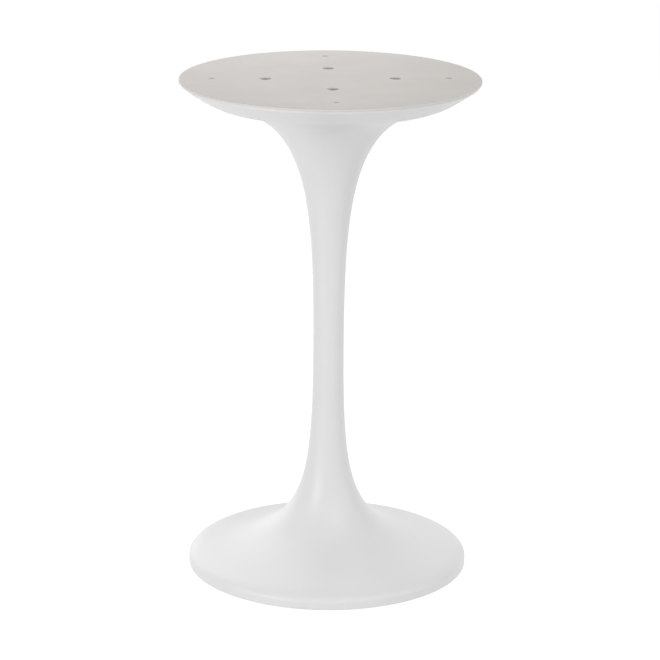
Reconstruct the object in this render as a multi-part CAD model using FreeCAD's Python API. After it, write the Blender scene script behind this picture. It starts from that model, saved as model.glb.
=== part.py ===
import FreeCAD
import Part
import math
import os

# A tulip table base: a hollow white casting, a plate screwed onto its rim and a rubber ring under its foot.
# Millimetres and degrees. The origin is on the floor, on the axis of the stem, with +Z up.

# Overall sizes
total_height = 710.0          # floor to the top of the plate
foot_diameter = 400.0
plate_diameter = 420.0
waist_diameter = 43.4         # the stem at its slimmest
waist_height = 327.0          # height of the waist above the floor
casting_wall = 6.0

# Outline of the foot and stem
foot_edge_height = 10.0       # top of the upright edge above the floor
foot_edge_round = 1.0         # lower corner of that edge
foot_roll_width = 33.0        # the edge rolls over into the slope across this width
foot_roll_height = 17.0       # and rises this much on the way
foot_slope = 12.75
foot_slope_pull = 134.5       # how far the slope runs on before it turns up into the stem
stem_pull_down = 227.0        # how far the waist stays slim below its slimmest place
stem_pull_up = 222.0          # and above it

# Outline of the bell
bell_slope = 9.0              # slope where the trumpet ends and the lip begins
bell_pull = 123.5             # how far that slope reaches back towards the stem
lip_width = 51.5              # the lip, from the end of the trumpet to the rim
lip_depth = 30.5              # the trumpet's end below the plate
lip_slope = 33.5              # slope of the lip at the rim
lip_pull_in = 16.0
lip_pull_out = 30.0
rim_edge = 3.0                # upright edge of the rim under the plate
rim_inset = 2.5               # the rim stands this far inside the plate's edge

# Top plate
plate_thickness = 3.0
plate_edge_round = 1.0        # upper corner of the plate
edge_break = 0.4              # small chamfer on the plate's lower corner and its open holes
table_hole_diameter = 16.0
table_hole_spacing_x = 180.0
table_hole_spacing_y = 148.0

# Plate screws and the bosses that take them
screw_count = 4
screw_circle = 328.0
screw_diameter = 5.0
screw_length = 16.0
screw_head_diameter = 10.0
screw_head_rim = 0.2          # upright rim of the countersunk head
screw_head_sink = 0.2         # the head's face below the plate's face
screw_tip_chamfer = 0.8
socket_width = 3.0            # across the flats of the hexagon
socket_depth = 1.9
head_clearance = 0.1          # round the head, in its countersink
shank_clearance = 0.3         # round the shank, in the plate
thread_clearance = 0.05       # round the shank, in the boss
boss_diameter = 16.0
boss_hole_spare = 2.0         # depth of the boss hole beyond the screw's tip

# Floor ring
ring_width = 5.0
ring_thickness = 3.0
ring_proud = 1.0              # the ring stands out of its groove by this much
ring_corner = 0.6             # rounded lower corners of the ring
ring_clearance = 0.1          # each side of the ring, in its groove
groove_margin = 2.5           # metal left on each side of the groove

# Places that the pieces share
foot_radius = foot_diameter / 2
waist_radius = waist_diameter / 2
plate_radius = plate_diameter / 2
rim_radius = plate_radius - rim_inset
seat_height = total_height - plate_thickness
casting_bottom = ring_proud
groove_outer = foot_radius - groove_margin
groove_inner = groove_outer - ring_width - 2 * ring_clearance
foot_mouth_radius = groove_inner - groove_margin
head_face = total_height - screw_head_sink
quarter_round = 0.5523        # handle share of a curve that rolls over like a quarter circle
overrun = 5.0                 # cutting shapes reach this far past the faces they cut
axis_foot = FreeCAD.Vector(0, 0, 0)
up = FreeCAD.Vector(0, 0, 1)


def at(radius, height):
    # A point of a half section, drawn in the XZ plane
    return FreeCAD.Vector(radius, 0, height)


def heading(slope):
    # Unit direction outwards in the half section, rising by the slope
    return at(math.cos(math.radians(slope)), math.sin(math.radians(slope)))


def bezier(poles):
    curve = Part.BezierCurve()
    curve.setPoles(poles)
    return curve.toShape()


def polyline(points):
    return [Part.makeLine(start, end) for start, end in zip(points, points[1:])]


def corner(start, centre, radius, from_angle):
    # A quarter circle about a centre, counted from an angle in the half section
    middle = centre + heading(from_angle + 45) * radius
    end = centre + heading(from_angle + 90) * radius
    return Part.Arc(start, middle, end).toShape()


def turned(edges):
    # The solid that a closed half section sweeps about the axis
    return Part.Face(Part.Wire(edges)).revolve(axis_foot, up, 360)


def turned_outline(points):
    return turned(polyline(points + points[:1]))


def roll(start, end, slope):
    # An upright edge that rolls over into a slope
    rise = end.z - start.z
    run = start.x - end.x
    lift = start + up * (quarter_round * rise)
    land = end + heading(-slope) * (quarter_round * run)
    return [start, lift, land, end]


def inner_side(poles, wall):
    # The wall's inner curve: each leg of the control polygon moves in by the wall, and neighbours meet again
    legs = []
    for start, end in zip(poles, poles[1:]):
        along = (end - start).normalize()
        inward = at(-along.z, along.x)
        legs.append((start + inward * wall, along))
    moved = [legs[0][0]]
    for (start, along), (next_start, next_along) in zip(legs, legs[1:]):
        turn = along.x * next_along.z - along.z * next_along.x
        gap = next_start - start
        reach = (gap.x * next_along.z - gap.z * next_along.x) / turn
        moved.append(start + along * reach)
    moved.append(poles[-1] + inward * wall)
    return moved


def outer_curves():
    # Foot roll, foot to waist, waist to bell, and lip, each as the poles of one curve
    edge_top = at(foot_radius, foot_edge_height)
    slope_start = at(foot_radius - foot_roll_width, foot_edge_height + foot_roll_height)
    waist = at(waist_radius, waist_height)
    bell_end = at(rim_radius - lip_width, seat_height - lip_depth)
    rim_low = at(rim_radius, seat_height - rim_edge)
    foot_roll = roll(edge_top, slope_start, foot_slope)
    slope_end = slope_start + heading(180 - foot_slope) * foot_slope_pull
    lower = [slope_start, slope_end, waist - up * stem_pull_down, waist]
    upper = [waist, waist + up * stem_pull_up, bell_end - heading(bell_slope) * bell_pull, bell_end]
    lip_start = bell_end + heading(bell_slope) * lip_pull_in
    lip = [bell_end, lip_start, rim_low - heading(lip_slope) * lip_pull_out, rim_low]
    return [foot_roll, lower, upper, lip]


def casting_form():
    # The outside of the casting, filled
    curves = outer_curves()
    edge_top = curves[0][0]
    rim_low = curves[-1][-1]
    round_start = at(foot_radius - foot_edge_round, casting_bottom)
    round_centre = round_start + up * foot_edge_round
    edges = polyline([at(0, casting_bottom), round_start])
    edges.append(corner(round_start, round_centre, foot_edge_round, -90))
    edges += polyline([at(foot_radius, casting_bottom + foot_edge_round), edge_top])
    edges += [bezier(poles) for poles in curves]
    edges += polyline([rim_low, at(rim_radius, seat_height), at(0, seat_height), at(0, casting_bottom)])
    return turned(edges)


def casting_core():
    # The hollow: open under the foot, through the stem and out through the top of the bell
    inner_curves = [inner_side(poles, casting_wall) for poles in outer_curves()[1:]]
    mouth = at(foot_mouth_radius, casting_bottom)
    mouth_roll = roll(mouth, inner_curves[0][0], foot_slope)
    core_low = casting_bottom - overrun
    lip_end = inner_curves[-1][-1]
    core_top = max(lip_end.z, seat_height) + overrun
    edges = polyline([at(0, core_low), at(foot_mouth_radius, core_low), mouth])
    edges += [bezier(poles) for poles in [mouth_roll] + inner_curves]
    edges += polyline([lip_end, at(lip_end.x, core_top), at(0, core_top), at(0, core_low)])
    return turned(edges)


def heading_in_plan(angle):
    return FreeCAD.Vector(math.cos(math.radians(angle)), math.sin(math.radians(angle)), 0)


def screw_places():
    return [heading_in_plan(360 / screw_count * turn) * (screw_circle / 2) for turn in range(screw_count)]


def table_hole_places():
    half_x = FreeCAD.Vector(table_hole_spacing_x / 2, 0, 0)
    half_y = FreeCAD.Vector(0, table_hole_spacing_y / 2, 0)
    return [half_x, -half_x, half_y, -half_y]


def make_pedestal():
    # The screw bosses are what the hollow leaves standing under the plate
    hollow = casting_core()
    for place in screw_places():
        hollow = hollow.cut(Part.makeCylinder(boss_diameter / 2, total_height, place + up * waist_height))
    casting = casting_form().cut(hollow)
    hole_depth = screw_length - plate_thickness + screw_head_sink + boss_hole_spare
    for place in screw_places():
        hole_bottom = place + up * (seat_height - hole_depth)
        casting = casting.cut(
            Part.makeCylinder(screw_diameter / 2 + thread_clearance, hole_depth + overrun, hole_bottom))
    groove = turned_outline([
        at(groove_inner, casting_bottom - overrun),
        at(groove_outer, casting_bottom - overrun),
        at(groove_outer, ring_thickness),
        at(groove_inner, ring_thickness)])
    return casting.cut(groove).removeSplitter()


def table_hole():
    # A straight hole through the plate with both edges broken
    radius = table_hole_diameter / 2
    wide = radius + edge_break + overrun
    return turned_outline([
        at(0, seat_height - overrun),
        at(wide, seat_height - overrun),
        at(radius, seat_height + edge_break),
        at(radius, total_height - edge_break),
        at(wide, total_height + overrun),
        at(0, total_height + overrun)])


def countersunk_hole():
    # The screw head's cone with clearance all round, and a clear hole for the shank
    head_radius = screw_head_diameter / 2 + head_clearance
    shank_radius = screw_diameter / 2 + shank_clearance
    cone_top = head_face - screw_head_rim
    return turned_outline([
        at(0, seat_height - overrun),
        at(shank_radius, seat_height - overrun),
        at(shank_radius, cone_top - (head_radius - shank_radius)),
        at(head_radius, cone_top),
        at(head_radius, total_height + overrun),
        at(0, total_height + overrun)])


def make_top_plate():
    round_start = at(plate_radius, total_height - plate_edge_round)
    round_centre = round_start - at(plate_edge_round, 0)
    edges = polyline([
        at(0, seat_height),
        at(plate_radius - edge_break, seat_height),
        at(plate_radius, seat_height + edge_break),
        round_start])
    edges.append(corner(round_start, round_centre, plate_edge_round, 0))
    edges += polyline([round_centre + up * plate_edge_round, at(0, total_height), at(0, seat_height)])
    plate = turned(edges)
    for place in table_hole_places():
        plate = plate.cut(table_hole().translated(place))
    for place in screw_places():
        plate = plate.cut(countersunk_hole().translated(place))
    return plate.removeSplitter()


def plate_screw():
    # A countersunk screw with a hexagon socket, standing on the axis
    head_radius = screw_head_diameter / 2
    shank_radius = screw_diameter / 2
    cone_top = head_face - screw_head_rim
    tip = head_face - screw_length
    body = turned_outline([
        at(0, tip),
        at(shank_radius - screw_tip_chamfer, tip),
        at(shank_radius, tip + screw_tip_chamfer),
        at(shank_radius, cone_top - (head_radius - shank_radius)),
        at(head_radius, cone_top),
        at(head_radius, head_face),
        at(0, head_face)])
    across_corners = socket_width / math.cos(math.radians(30))
    corners = [heading_in_plan(60 * side) * (across_corners / 2) for side in range(6)]
    hexagon = Part.Face(Part.makePolygon(corners + corners[:1]))
    socket = hexagon.extrude(up * (socket_depth + overrun)).translated(up * (head_face - socket_depth))
    return body.cut(socket)


def make_plate_screws():
    return Part.makeCompound([plate_screw().translated(place) for place in screw_places()])


def make_floor_ring():
    inner = groove_inner + ring_clearance
    outer = groove_outer - ring_clearance
    low_inner = at(inner, ring_corner)
    low_outer = at(outer - ring_corner, 0)
    edges = [corner(low_inner, low_inner + at(ring_corner, 0), ring_corner, 180)]
    edges += polyline([at(inner + ring_corner, 0), low_outer])
    edges.append(corner(low_outer, low_outer + up * ring_corner, ring_corner, -90))
    top_inner = at(inner, ring_thickness)
    edges += polyline([at(outer, ring_corner), at(outer, ring_thickness), top_inner, low_inner])
    return turned(edges)


pieces = {
    "pedestal": make_pedestal(),
    "top_plate": make_top_plate(),
    "plate_screws": make_plate_screws(),
    "floor_ring": make_floor_ring(),
}

os.makedirs("parts", exist_ok=True)
for name, shape in pieces.items():
    shape.exportStep("parts/" + name + ".step")
    volume = round(shape.Volume / 1000, 1)
    print(name, len(shape.Solids), "solids, valid", shape.isValid(), "volume cm3", volume)
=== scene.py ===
import math

import bpy
from mathutils import Matrix, Vector


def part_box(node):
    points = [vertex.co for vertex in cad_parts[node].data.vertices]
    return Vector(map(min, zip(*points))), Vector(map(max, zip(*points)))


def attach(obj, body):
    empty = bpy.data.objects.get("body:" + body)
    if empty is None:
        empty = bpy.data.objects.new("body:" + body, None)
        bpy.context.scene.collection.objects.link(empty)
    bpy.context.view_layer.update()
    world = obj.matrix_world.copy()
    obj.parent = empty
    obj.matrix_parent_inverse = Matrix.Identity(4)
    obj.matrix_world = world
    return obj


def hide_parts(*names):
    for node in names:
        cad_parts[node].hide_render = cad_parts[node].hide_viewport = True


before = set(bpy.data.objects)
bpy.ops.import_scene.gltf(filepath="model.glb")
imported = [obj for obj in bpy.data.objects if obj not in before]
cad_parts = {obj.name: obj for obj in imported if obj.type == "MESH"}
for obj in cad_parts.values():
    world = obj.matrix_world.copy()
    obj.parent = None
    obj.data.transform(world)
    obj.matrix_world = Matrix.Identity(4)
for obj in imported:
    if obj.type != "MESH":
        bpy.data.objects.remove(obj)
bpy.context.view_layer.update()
mm = 0.001  # the object's sizes are in millimetres, Blender works in metres
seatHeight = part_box("top_plate")[0].z / mm  # here the plate lies on the casting's rim
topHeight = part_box("top_plate")[1].z / mm
print("frame loaded:", len(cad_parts), "nodes")

quarterRound = 0.5523  # handle length that makes a curve round like a quarter circle
crispFrom = math.radians(28)  # edges sharper than this stay crisp


def linear(hexColour):
    # sRGB hex to the linear colour that a shader takes
    parts = [int(hexColour[place:place + 2], 16) / 255 for place in (1, 3, 5)]
    return [part / 12.92 if part <= 0.04045 else ((part + 0.055) / 1.055) ** 2.4 for part in parts] + [1.0]


def perMetre(sizeInMm):
    # noise scale for features of about this size
    return 1 / (sizeInMm * mm)


def addNode(tree, kind, inputs=None, stops=None, **settings):
    # inputs are values or links by socket, stops are a ramp's places and colours
    node = tree.nodes.new(kind)
    for name, value in settings.items():
        setattr(node, name, value)
    for socket, value in (inputs or {}).items():
        if isinstance(value, bpy.types.NodeSocket):
            tree.links.new(value, node.inputs[socket])
        else:
            node.inputs[socket].default_value = value
    for number, (place, colour) in enumerate(stops or []):
        stop = node.color_ramp.elements[number]
        stop.position = place
        stop.color = linear(colour)
    return node


def newMaterial(name):
    material = bpy.data.materials.new(name)
    material.use_nodes = True
    material.node_tree.nodes.clear()
    return material, material.node_tree


def selectOnly(piece):
    bpy.ops.object.select_all(action="DESELECT")
    piece.select_set(True)
    bpy.context.view_layer.objects.active = piece


def applyPlace():
    bpy.ops.object.transform_apply(location=True, rotation=True, scale=True)


def outwards(slope):
    # unit step away from the axis in a half section, rising by the slope in degrees
    return Vector((math.cos(math.radians(slope)), math.sin(math.radians(slope))))


def straightRuns(points):
    return [[Vector(start), Vector(end)] for start, end in zip(points, points[1:])]


def rollOver(start, end, slope):
    # an upright edge that rolls over into a slope
    lift = start + Vector((0, quarterRound * (end.y - start.y)))
    land = end + outwards(-slope) * (quarterRound * (start.x - end.x))
    return [start, lift, land, end]


def roundCorner(start, corner, end):
    return [start, start.lerp(corner, quarterRound), end.lerp(corner, quarterRound), end]


def insideOfWall(run, wall):
    # each leg between the handles moves in by the wall, and neighbours meet again
    legs = []
    for start, end in zip(run, run[1:]):
        step = (end - start).normalized()
        inward = Vector((-step.y, step.x))
        legs.append((start + inward * wall, step))
    moved = [legs[0][0]]
    for (start, step), (nextStart, nextStep) in zip(legs, legs[1:]):
        gap = nextStart - start
        moved.append(start + step * (gap.cross(nextStep) / step.cross(nextStep)))
    moved.append(run[-1] + inward * wall)
    return moved


def upToHeight(run, height):
    # the first part of a rising curve, cut off where it reaches a height
    low, high = 0.0, 1.0
    for halving in range(40):
        share = (low + high) / 2
        outer = [start.lerp(end, share) for start, end in zip(run, run[1:])]
        inner = [start.lerp(end, share) for start, end in zip(outer, outer[1:])]
        reached = inner[0].lerp(inner[1], share)
        low, high = (share, high) if reached.y < height else (low, share)
    return [run[0], outer[0], inner[0], reached]


def drawSection(name, runs, closed, curveSteps):
    # half section in the XZ plane: a run of two points is straight, one of four is curved
    bpy.ops.object.select_all(action="DESELECT")
    bpy.ops.curve.primitive_bezier_curve_add(location=(0, 0, 0))
    outline = bpy.context.object
    outline.name = name
    outline.data.resolution_u = curveSteps
    spline = outline.data.splines[0]
    stops = [run[0] for run in runs] + ([] if closed else [runs[-1][-1]])
    spline.bezier_points.add(len(stops) - 2)
    spline.use_cyclic_u = closed
    for number, stop in enumerate(stops):
        behind, ahead = runs[number - 1], runs[number % len(runs)]
        point = spline.bezier_points[number]
        point.handle_left_type = "FREE" if len(behind) == 4 else "VECTOR"
        point.handle_right_type = "FREE" if len(ahead) == 4 else "VECTOR"
        point.co = (stop.x * mm, 0, stop.y * mm)
        point.handle_left = (behind[-2].x * mm, 0, behind[-2].y * mm)
        point.handle_right = (ahead[1].x * mm, 0, ahead[1].y * mm)
    bpy.ops.object.convert(target="MESH")
    return bpy.context.object


def latheSection(name, runs, steps, closed=True, curveSteps=24):
    # a section that starts and ends on the axis is left open there
    piece = drawSection(name, runs, closed, curveSteps)
    bpy.ops.object.mode_set(mode="EDIT")
    bpy.ops.mesh.select_all(action="SELECT")
    bpy.ops.mesh.spin(steps=steps, angle=2 * math.pi, center=(0, 0, 0), axis=(0, 0, 1))
    bpy.ops.mesh.select_all(action="SELECT")
    bpy.ops.mesh.remove_doubles(threshold=0.001 * mm)
    bpy.ops.mesh.normals_make_consistent(inside=False)
    bpy.ops.object.mode_set(mode="OBJECT")
    return piece


def addCylinder(name, sides, radius, low, high, turn=0):
    # turn is in degrees
    bpy.ops.object.select_all(action="DESELECT")
    bpy.ops.mesh.primitive_cylinder_add(
        vertices=sides, radius=radius * mm, depth=(high - low) * mm,
        location=(0, 0, (low + high) / 2 * mm), rotation=(0, 0, math.radians(turn)))
    piece = bpy.context.object
    piece.name = name
    applyPlace()
    return piece


def copiesOf(piece, count):
    # the piece itself and more like it, each with its own mesh
    copies = [piece]
    while len(copies) < count:
        selectOnly(piece)
        bpy.ops.object.duplicate(linked=False)
        copies.append(bpy.context.object)
    return copies


def joined(copies):
    bpy.ops.object.select_all(action="DESELECT")
    for copy in copies:
        copy.select_set(True)
    bpy.context.view_layer.objects.active = copies[0]
    applyPlace()
    bpy.ops.object.join()
    return copies[0]


def copiesAt(piece, places):
    copies = copiesOf(piece, len(places))
    for copy, place in zip(copies, places):
        copy.location = (place[0] * mm, place[1] * mm, 0)
    return joined(copies)


def combine(piece, tool, operation):
    # boolean with a tool object, which is used up
    selectOnly(piece)
    change = piece.modifiers.new("change", "BOOLEAN")
    change.operation = operation
    change.solver = "EXACT"
    change.object = tool
    bpy.ops.object.modifier_apply(modifier="change")
    bpy.data.objects.remove(tool)


def finishPiece(piece, node, material):
    selectOnly(piece)
    bpy.ops.object.shade_smooth_by_angle(angle=crispFrom)
    piece.data.materials.clear()
    piece.data.materials.append(material)
    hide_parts(node)
    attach(piece, "root")
    print("piece done:", piece.name, len(piece.data.polygons), "faces")


# camera, at the photograph's viewing angle
cameraView = {
    "distance": 3730.2,    # from the stem's axis, along the floor
    "height": 1449.4,
    "azimuth": -2.7,       # by the holes in the plate, the base is turned a little
    "tilt": 16.463,
    "roll": 0.44,          # the picture leans a little to the right
    "sideAim": -0.03,      # the stem stands just left of the middle
    "sensor": 36.0,
    "lens": 149.35,
}


def setCamera():
    turn = math.radians(cameraView["azimuth"])
    bpy.ops.object.camera_add()
    camera = bpy.context.object
    place = Vector((math.sin(turn) * cameraView["distance"],
                    -math.cos(turn) * cameraView["distance"],
                    cameraView["height"])) * mm
    heading = Matrix.Rotation(turn + math.radians(cameraView["sideAim"]), 4, "Z")
    pitch = Matrix.Rotation(math.radians(90 - cameraView["tilt"]), 4, "X")
    roll = Matrix.Rotation(math.radians(cameraView["roll"]), 4, "Z")
    camera.matrix_world = Matrix.Translation(place) @ heading @ pitch @ roll
    camera.data.sensor_width = cameraView["sensor"]
    camera.data.lens = cameraView["lens"]
    bpy.context.scene.camera = camera
    print("camera set")


setCamera()


# pedestal: foot, stem and bell in one hollow casting
pedestal = {
    "footRadius": 200.0, "edgeTop": 10.0, "edgeRound": 1.0,
    "rollWidth": 33.0, "rollHeight": 17.0, "footSlope": 12.75, "footSlopePull": 134.5,
    "waistRadius": 21.7, "waistHeight": 327.0, "stemPullDown": 227.0, "stemPullUp": 222.0,
    "bellSlope": 9.0, "bellPull": 123.5,
    "lipWidth": 51.5, "lipDepth": 30.5, "lipSlope": 33.5, "lipPullIn": 16.0, "lipPullOut": 30.0,
    "rimRadius": 207.5, "rimEdge": 3.0, "wall": 6.0,
    "mouthRadius": 189.8, "grooveInner": 192.3, "grooveOuter": 197.5, "grooveTop": 3.0,
    "bossRadius": 8.0, "bossLength": 25.4, "bossFootRise": 0.33,  # its foot is slanted along the lip
    "bossHoleRadius": 2.55, "bossHoleDepth": 15.2,
    "steps": 192, "bossSides": 48, "bossHoleSteps": 32,
    "coat": ("#ECECEC", "#EEEEEE"), "filmSize": 90.0, "roughness": (0.36, 0.42),
    "peelSize": 2.2, "peelDepth": 0.02,
}
screwCircle = 164.0  # the plate's screws, and the bosses under them, stand on this radius
screwPlaces = [(screwCircle, 0), (0, screwCircle), (-screwCircle, 0), (0, -screwCircle)]


def whitePowderCoat():
    # powder coat baked on cast aluminium: clean satin white, a faint orange peel softens every reflection
    look = pedestal
    material, tree = newMaterial("whitePowderCoat")
    coordinates = addNode(tree, "ShaderNodeTexCoord").outputs["Object"]
    peel = addNode(tree, "ShaderNodeTexNoise", {
        "Vector": coordinates, "Scale": perMetre(look["peelSize"]), "Detail": 2.0, "Roughness": 0.45})
    film = addNode(tree, "ShaderNodeTexNoise", {
        "Vector": coordinates, "Scale": perMetre(look["filmSize"]), "Detail": 3.0, "Roughness": 0.5})
    tint = addNode(tree, "ShaderNodeValToRGB", {"Fac": film.outputs["Fac"]},
                   stops=[(0.3, look["coat"][0]), (0.7, look["coat"][1])])
    gloss = addNode(tree, "ShaderNodeMapRange", {
        "Value": film.outputs["Fac"], "From Min": 0.3, "From Max": 0.7,
        "To Min": look["roughness"][0], "To Max": look["roughness"][1]})
    bump = addNode(tree, "ShaderNodeBump", {
        "Height": peel.outputs["Fac"], "Strength": 0.35, "Distance": look["peelDepth"] * mm})
    shader = addNode(tree, "ShaderNodeBsdfPrincipled", {
        "Base Color": tint.outputs["Color"], "Roughness": gloss.outputs["Result"],
        "IOR": 1.5, "Normal": bump.outputs["Normal"]})
    addNode(tree, "ShaderNodeOutputMaterial", {"Surface": shader.outputs["BSDF"]})
    return material


def pedestalSection():
    size = pedestal
    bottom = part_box("pedestal")[0].z / mm
    edgeTop = Vector((size["footRadius"], size["edgeTop"]))
    slopeStart = edgeTop + Vector((-size["rollWidth"], size["rollHeight"]))
    waist = Vector((size["waistRadius"], size["waistHeight"]))
    bellEnd = Vector((size["rimRadius"] - size["lipWidth"], seatHeight - size["lipDepth"]))
    rimLow = Vector((size["rimRadius"], seatHeight - size["rimEdge"]))
    lower = [slopeStart, slopeStart + outwards(180 - size["footSlope"]) * size["footSlopePull"],
             waist - Vector((0, size["stemPullDown"])), waist]
    upper = [waist, waist + Vector((0, size["stemPullUp"])),
             bellEnd - outwards(size["bellSlope"]) * size["bellPull"], bellEnd]
    lip = [bellEnd, bellEnd + outwards(size["bellSlope"]) * size["lipPullIn"],
           rimLow - outwards(size["lipSlope"]) * size["lipPullOut"], rimLow]
    innerLower, innerUpper, innerLip = [insideOfWall(run, size["wall"]) for run in (lower, upper, lip)]
    innerLip = upToHeight(innerLip, seatHeight)
    mouth = Vector((size["mouthRadius"], bottom))
    footCorner = Vector((size["footRadius"], bottom))
    roundStart = footCorner - Vector((size["edgeRound"], 0))
    roundEnd = footCorner + Vector((0, size["edgeRound"]))
    grooveIn, grooveOut, grooveTop = size["grooveInner"], size["grooveOuter"], size["grooveTop"]

    runs = [roundCorner(roundStart, footCorner, roundEnd)] + straightRuns([roundEnd, edgeTop])
    runs += [rollOver(edgeTop, slopeStart, size["footSlope"]), lower, upper, lip]
    runs += straightRuns([rimLow, (size["rimRadius"], seatHeight), innerLip[-1]])
    runs += [run[::-1] for run in (innerLip, innerUpper, innerLower)]
    runs += [rollOver(mouth, innerLower[0], size["footSlope"])[::-1]]
    runs += straightRuns([mouth, (grooveIn, bottom), (grooveIn, grooveTop),
                          (grooveOut, grooveTop), (grooveOut, bottom), roundStart])
    return runs


def makeBoss():
    size = pedestal
    boss = addCylinder("screwBoss", size["bossSides"], size["bossRadius"],
                       seatHeight - size["bossLength"], seatHeight)
    for vertex in boss.data.vertices:
        if vertex.co.z < (seatHeight - size["bossLength"] / 2) * mm:
            vertex.co.z += vertex.co.x * size["bossFootRise"]
    boss.location.x = screwCircle * mm
    applyPlace()
    return boss


def makePedestal():
    size = pedestal
    piece = latheSection("pedestalCasting", pedestalSection(), size["steps"])
    bosses = copiesOf(makeBoss(), len(screwPlaces))
    for number, boss in enumerate(bosses):
        boss.rotation_euler.z = 2 * math.pi * number / len(bosses)
    combine(piece, joined(bosses), "UNION")
    holeBottom = seatHeight - size["bossHoleDepth"]
    hole = latheSection("bossHole", straightRuns([
        (0, holeBottom), (size["bossHoleRadius"], holeBottom),
        (size["bossHoleRadius"], topHeight), (0, topHeight)]), size["bossHoleSteps"], closed=False)
    combine(piece, copiesAt(hole, screwPlaces), "DIFFERENCE")
    return piece


finishPiece(makePedestal(), "pedestal", whitePowderCoat())


# top plate: a flat disc on the bell's rim, with four table holes and four countersunk screw holes
topPlate = {
    "radius": 210.0, "edgeRound": 1.0, "edgeBreak": 0.4, "roundSteps": 5, "sides": 256,
    "holeRadius": 8.0, "holePlaces": [(90, 0), (-90, 0), (0, 74), (0, -74)], "holeSteps": 64,
    "sinkRadius": 5.1, "sinkDrop": 0.4, "shankRadius": 2.8, "sinkSteps": 48,
    "coat": ("#D8D3CE", "#DDD8D3"), "cloudSize": 60.0, "roughness": (0.52, 0.64),
    "gritSize": 0.9, "gritDepth": 0.03,
    # painted light: paler colours for the upright faces, lifting the shade in the hole walls and on the
    # outer edge
    "litHoleWall": "#F1F0EE", "litOuterEdge": "#E1DEDA", "wallsWithin": 150.0, "edgeBeyond": 200.0,
}


def greyPlateCoat():
    # flat warm grey coat on sheet steel: a fine sandy texture that hardly shines, with painted light on the
    # upright faces
    look = topPlate
    material, tree = newMaterial("greyPlateCoat")
    texture = addNode(tree, "ShaderNodeTexCoord")
    coordinates = texture.outputs["Object"]
    grit = addNode(tree, "ShaderNodeTexNoise", {
        "Vector": coordinates, "Scale": perMetre(look["gritSize"]), "Detail": 3.0, "Roughness": 0.6})
    cloud = addNode(tree, "ShaderNodeTexNoise", {
        "Vector": coordinates, "Scale": perMetre(look["cloudSize"]), "Detail": 4.0, "Roughness": 0.55})
    tint = addNode(tree, "ShaderNodeValToRGB", {"Fac": cloud.outputs["Fac"]},
                   stops=[(0.3, look["coat"][0]), (0.7, look["coat"][1])])
    # painted light: the upright faces are painted paler to lift their shade, the hole walls near the middle
    # most and the disc's outer edge less
    facing = addNode(tree, "ShaderNodeSeparateXYZ", {"Vector": texture.outputs["Normal"]})
    level = addNode(tree, "ShaderNodeMath", {0: facing.outputs["Z"]}, operation="ABSOLUTE")
    upright = addNode(tree, "ShaderNodeMapRange", {
        "Value": level.outputs[0], "From Min": 0.3, "From Max": 0.8, "To Min": 1.0, "To Max": 0.0})
    inPlan = addNode(tree, "ShaderNodeVectorMath", {0: coordinates, 1: (1, 1, 0)}, operation="MULTIPLY")
    radius = addNode(tree, "ShaderNodeVectorMath", {0: inPlan.outputs["Vector"]}, operation="LENGTH")
    towardsEdge = addNode(tree, "ShaderNodeMapRange", {
        "Value": radius.outputs["Value"],
        "From Min": look["wallsWithin"] * mm, "From Max": look["edgeBeyond"] * mm})
    paintedLight = addNode(tree, "ShaderNodeValToRGB", {"Fac": towardsEdge.outputs["Result"]},
                  stops=[(0.0, look["litHoleWall"]), (1.0, look["litOuterEdge"])])
    colour = addNode(tree, "ShaderNodeMix", {  # sockets 6 and 7 are its two colours
        0: upright.outputs["Result"], 6: tint.outputs["Color"], 7: paintedLight.outputs["Color"]},
        data_type="RGBA")
    gloss = addNode(tree, "ShaderNodeMapRange", {
        "Value": grit.outputs["Fac"], "From Min": 0.3, "From Max": 0.7,
        "To Min": look["roughness"][0], "To Max": look["roughness"][1]})
    bump = addNode(tree, "ShaderNodeBump", {
        "Height": grit.outputs["Fac"], "Strength": 0.4, "Distance": look["gritDepth"] * mm})
    shader = addNode(tree, "ShaderNodeBsdfPrincipled", {
        "Base Color": colour.outputs[2], "Roughness": gloss.outputs["Result"],
        "IOR": 1.5, "Normal": bump.outputs["Normal"]})
    addNode(tree, "ShaderNodeOutputMaterial", {"Surface": shader.outputs["BSDF"]})
    return material


def bevelRim(piece, height, width, segments):
    # bevel the rim edges that lie at one height
    bpy.ops.object.mode_set(mode="EDIT")
    bpy.ops.mesh.select_mode(type="EDGE")
    bpy.ops.mesh.select_all(action="DESELECT")
    bpy.ops.object.mode_set(mode="OBJECT")
    corners = piece.data.vertices
    for edge in piece.data.edges:
        edge.select = all(abs(corners[end].co.z - height * mm) < 0.01 * mm for end in edge.vertices)
    bpy.ops.object.mode_set(mode="EDIT")
    bpy.ops.mesh.bevel(offset=width * mm, segments=segments, profile=0.5, affect="EDGES")
    bpy.ops.object.mode_set(mode="OBJECT")


def makeTopPlate():
    size = topPlate
    piece = addCylinder("topPlateDisc", size["sides"], size["radius"], seatHeight, topHeight)
    bevelRim(piece, topHeight, size["edgeRound"], size["roundSteps"])
    bevelRim(piece, seatHeight, size["edgeBreak"], 1)
    past = 2.0  # the cutters reach this far past both faces
    wide = size["holeRadius"] + size["edgeBreak"] + past
    tableHole = latheSection("tableHole", straightRuns([
        (0, seatHeight - past), (wide, seatHeight - past),
        (size["holeRadius"], seatHeight + size["edgeBreak"]),
        (size["holeRadius"], topHeight - size["edgeBreak"]),
        (wide, topHeight + past), (0, topHeight + past)]), size["holeSteps"], closed=False)
    combine(piece, copiesAt(tableHole, size["holePlaces"]), "DIFFERENCE")
    sinkTop = topHeight - size["sinkDrop"]
    screwHole = latheSection("screwHole", straightRuns([
        (0, seatHeight - past), (size["shankRadius"], seatHeight - past),
        (size["shankRadius"], sinkTop - size["sinkRadius"] + size["shankRadius"]),
        (size["sinkRadius"], sinkTop), (size["sinkRadius"], topHeight + past),
        (0, topHeight + past)]), size["sinkSteps"], closed=False)
    combine(piece, copiesAt(screwHole, screwPlaces), "DIFFERENCE")
    return piece


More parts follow.
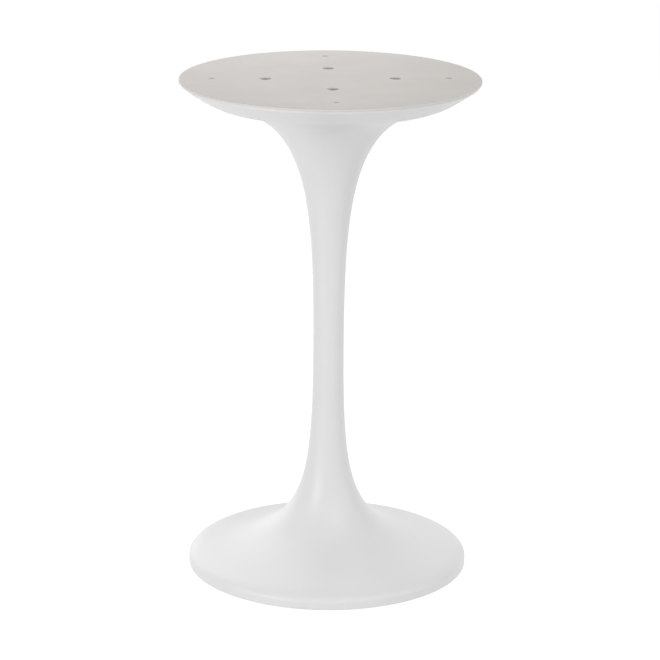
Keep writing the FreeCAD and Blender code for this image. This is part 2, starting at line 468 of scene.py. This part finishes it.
finishPiece(makeTopPlate(), "top_plate", greyPlateCoat())


# plate screws: countersunk, with a hexagon socket
plateScrews = {
    "headRadius": 5.0, "headDrop": 0.2, "headRim": 0.2, "shankRadius": 2.5, "length": 16.0,
    "tipChamfer": 0.8, "socketWidth": 3.0, "socketDepth": 1.9, "steps": 48,
    "coat": ("#9A9996", "#A6A4A0"), "mottleSize": 0.5,
}


def zincPhosphateSteel():
    # zinc phosphate on a steel screw: dull mid grey, slightly mottled
    look = plateScrews
    material, tree = newMaterial("zincPhosphateSteel")
    coordinates = addNode(tree, "ShaderNodeTexCoord").outputs["Object"]
    mottle = addNode(tree, "ShaderNodeTexNoise", {
        "Vector": coordinates, "Scale": perMetre(look["mottleSize"]), "Detail": 3.0, "Roughness": 0.6})
    tint = addNode(tree, "ShaderNodeValToRGB", {"Fac": mottle.outputs["Fac"]},
                   stops=[(0.3, look["coat"][0]), (0.7, look["coat"][1])])
    shader = addNode(tree, "ShaderNodeBsdfPrincipled", {
        "Base Color": tint.outputs["Color"], "Metallic": 0.85, "Roughness": 0.5})
    addNode(tree, "ShaderNodeOutputMaterial", {"Surface": shader.outputs["BSDF"]})
    return material


def makePlateScrews():
    size = plateScrews
    face = topHeight - size["headDrop"]
    coneTop = face - size["headRim"]
    coneLow = coneTop - (size["headRadius"] - size["shankRadius"])
    tip = face - size["length"]
    piece = latheSection("plateScrews", straightRuns([
        (0, tip), (size["shankRadius"] - size["tipChamfer"], tip),
        (size["shankRadius"], tip + size["tipChamfer"]), (size["shankRadius"], coneLow),
        (size["headRadius"], coneTop), (size["headRadius"], face), (0, face)]), size["steps"], closed=False)
    socketRadius = size["socketWidth"] / 2 / math.cos(math.radians(30))  # over the hexagon's corners
    socket = addCylinder("hexagonSocket", 6, socketRadius,
                         face - size["socketDepth"], face + size["socketDepth"], turn=30)
    combine(piece, socket, "DIFFERENCE")
    return copiesAt(piece, screwPlaces)


finishPiece(makePlateScrews(), "plate_screws", zincPhosphateSteel())


# floor ring: a rubber strip in the groove under the foot
floorRing = {
    "inner": 192.4, "outer": 197.4, "thickness": 3.0, "corner": 0.6, "steps": 192,
    "rubber": ("#232323", "#343332"), "bloomSize": 6.0,
}


def blackRubber():
    # moulded rubber: near black, dull, with a slight bloom
    look = floorRing
    material, tree = newMaterial("blackRubber")
    coordinates = addNode(tree, "ShaderNodeTexCoord").outputs["Object"]
    bloom = addNode(tree, "ShaderNodeTexNoise", {
        "Vector": coordinates, "Scale": perMetre(look["bloomSize"]), "Detail": 4.0, "Roughness": 0.6})
    tint = addNode(tree, "ShaderNodeValToRGB", {"Fac": bloom.outputs["Fac"]},
                   stops=[(0.35, look["rubber"][0]), (0.75, look["rubber"][1])])
    shader = addNode(tree, "ShaderNodeBsdfPrincipled", {
        "Base Color": tint.outputs["Color"], "Roughness": 0.75, "IOR": 1.52})
    addNode(tree, "ShaderNodeOutputMaterial", {"Surface": shader.outputs["BSDF"]})
    return material


def makeFloorRing():
    size = floorRing
    inner, outer, corner, top = size["inner"], size["outer"], size["corner"], size["thickness"]
    innerFoot, outerFoot = Vector((inner, 0)), Vector((outer, 0))
    aside, above = Vector((corner, 0)), Vector((0, corner))
    runs = [roundCorner(innerFoot + above, innerFoot, innerFoot + aside)]
    runs += straightRuns([innerFoot + aside, outerFoot - aside])
    runs += [roundCorner(outerFoot - aside, outerFoot, outerFoot + above)]
    runs += straightRuns([outerFoot + above, (outer, top), (inner, top), innerFoot + above])
    return latheSection("floorRing", runs, size["steps"], curveSteps=6)


finishPiece(makeFloorRing(), "floor_ring", blackRubber())


# studio: white floor, even light all round and eight soft lamps, with the brighter side at the left
studio = {
    "floorSide": 16.0,         # metres, as litWithin and litBeyond
    "floorBounce": "#B7B7B7",  # what the floor throws back on the object
    "litNear": 0.33, "litWithin": 0.3,  # its own light, strongest round the foot
    "litFar": 0.235, "litBeyond": 0.5,
    "floorShade": "#A8A8A8", "floorGlow": 0.82,  # as it is seen, so that a shadow still shows
    "skyStrength": 0.47,
}
lamps = {  # azimuth 0 is the camera's side, minus is to its left; metres and watts
    "frontLeft": {"azimuth": -45, "away": 2.5, "height": 0.9, "side": 1.2, "aim": 0.4, "power": 14.4},
    "nearLeft": {"azimuth": -45, "away": 1.3, "height": 0.55, "side": 0.5, "aim": 0.55, "power": 1.0},
    "frontRight": {"azimuth": 30, "away": 2.3, "height": 2.3, "side": 2.0, "aim": 0.35, "power": 16.5},
    "right": {"azimuth": 75, "away": 2.5, "height": 0.9, "side": 1.2, "aim": 0.4, "power": 6.3},
    "backLeft": {"azimuth": -150, "away": 2.95, "height": 0.9, "side": 2.0, "aim": 0.35, "power": 13.8},
    "backRight": {"azimuth": 150, "away": 2.95, "height": 0.9, "side": 2.0, "aim": 0.35, "power": 4.9},
    "overBackLeft": {"azimuth": -150, "away": 1.2, "height": 1.2, "side": 0.6, "aim": 0.71, "power": 1.95},
    "overBack": {"azimuth": 180, "away": 0.8, "height": 1.0, "side": 0.4, "aim": 0.71, "power": 0.6},
}


def seenDirectly(tree):
    # 1 for rays from the camera, in reflections and through clear things
    path = addNode(tree, "ShaderNodeLightPath")
    seen = addNode(tree, "ShaderNodeMath", {
        0: path.outputs["Is Camera Ray"], 1: path.outputs["Is Glossy Ray"]}, operation="MAXIMUM")
    return addNode(tree, "ShaderNodeMath", {
        0: seen.outputs[0], 1: path.outputs["Is Transmission Ray"]}, operation="MAXIMUM").outputs[0]


def whitePaperFloor():
    # white paper on a light table, lit best in the middle: plain white to the eye, but for the shadow
    material, tree = newMaterial("whitePaperFloor")
    paper = addNode(tree, "ShaderNodeBsdfDiffuse", {"Color": linear(studio["floorBounce"])})
    place = addNode(tree, "ShaderNodeTexCoord").outputs["Object"]
    fromMiddle = addNode(tree, "ShaderNodeVectorMath", {0: place}, operation="LENGTH")
    strength = addNode(tree, "ShaderNodeMapRange", {
        "Value": fromMiddle.outputs["Value"],
        "From Min": studio["litWithin"], "From Max": studio["litBeyond"],
        "To Min": studio["litNear"], "To Max": studio["litFar"]})
    ownLight = addNode(tree, "ShaderNodeEmission", {"Strength": strength.outputs["Result"]})
    onObject = addNode(tree, "ShaderNodeAddShader", {0: paper.outputs[0], 1: ownLight.outputs[0]})
    shade = addNode(tree, "ShaderNodeBsdfDiffuse", {"Color": linear(studio["floorShade"])})
    glow = addNode(tree, "ShaderNodeEmission", {"Strength": studio["floorGlow"]})
    toTheEye = addNode(tree, "ShaderNodeAddShader", {0: shade.outputs[0], 1: glow.outputs[0]})
    topSide = addNode(tree, "ShaderNodeMixShader", {
        0: seenDirectly(tree), 1: onObject.outputs[0], 2: toTheEye.outputs[0]})
    clear = addNode(tree, "ShaderNodeBsdfTransparent")  # views from below look through the floor
    fromBelow = addNode(tree, "ShaderNodeNewGeometry").outputs["Backfacing"]
    surface = addNode(tree, "ShaderNodeMixShader", {
        0: fromBelow, 1: topSide.outputs[0], 2: clear.outputs[0]})
    addNode(tree, "ShaderNodeOutputMaterial", {"Surface": surface.outputs[0]})
    return material


def studioSurround():
    # even light on the object, plain white to the eye
    world = bpy.data.worlds.new("studioSurround")
    world.use_nodes = True
    tree = world.node_tree
    tree.nodes.clear()
    white = linear("#FFFFFF")
    light = addNode(tree, "ShaderNodeBackground", {"Color": white, "Strength": studio["skyStrength"]})
    backdrop = addNode(tree, "ShaderNodeBackground", {"Color": white, "Strength": 1.0})
    mixed = addNode(tree, "ShaderNodeMixShader", {
        0: seenDirectly(tree), 1: light.outputs[0], 2: backdrop.outputs[0]})
    addNode(tree, "ShaderNodeOutputWorld", {"Surface": mixed.outputs[0]})
    return world


def addLamp(name, values):
    turn = math.radians(values["azimuth"])
    away = values["away"]
    place = Vector((math.sin(turn) * away, -math.cos(turn) * away, values["height"]))
    bpy.ops.object.light_add(type="AREA", location=place)
    lamp = bpy.context.object
    lamp.name = name
    lamp.data.size = values["side"]
    lamp.data.energy = values["power"]
    lamp.visible_camera = False
    towards = Vector((0, 0, values["aim"])) - place
    lamp.rotation_euler = towards.to_track_quat("-Z", "Y").to_euler()


def makeStudio():
    bpy.ops.object.select_all(action="DESELECT")
    bpy.ops.mesh.primitive_plane_add(size=studio["floorSide"], location=(0, 0, 0))
    floor = bpy.context.object
    floor.name = "studioFloor"
    floor.data.materials.append(whitePaperFloor())
    bpy.context.scene.world = studioSurround()
    for name, values in lamps.items():
        addLamp(name, values)
    bpy.context.scene.view_settings.view_transform = "Standard"
    print("studio set")


makeStudio()
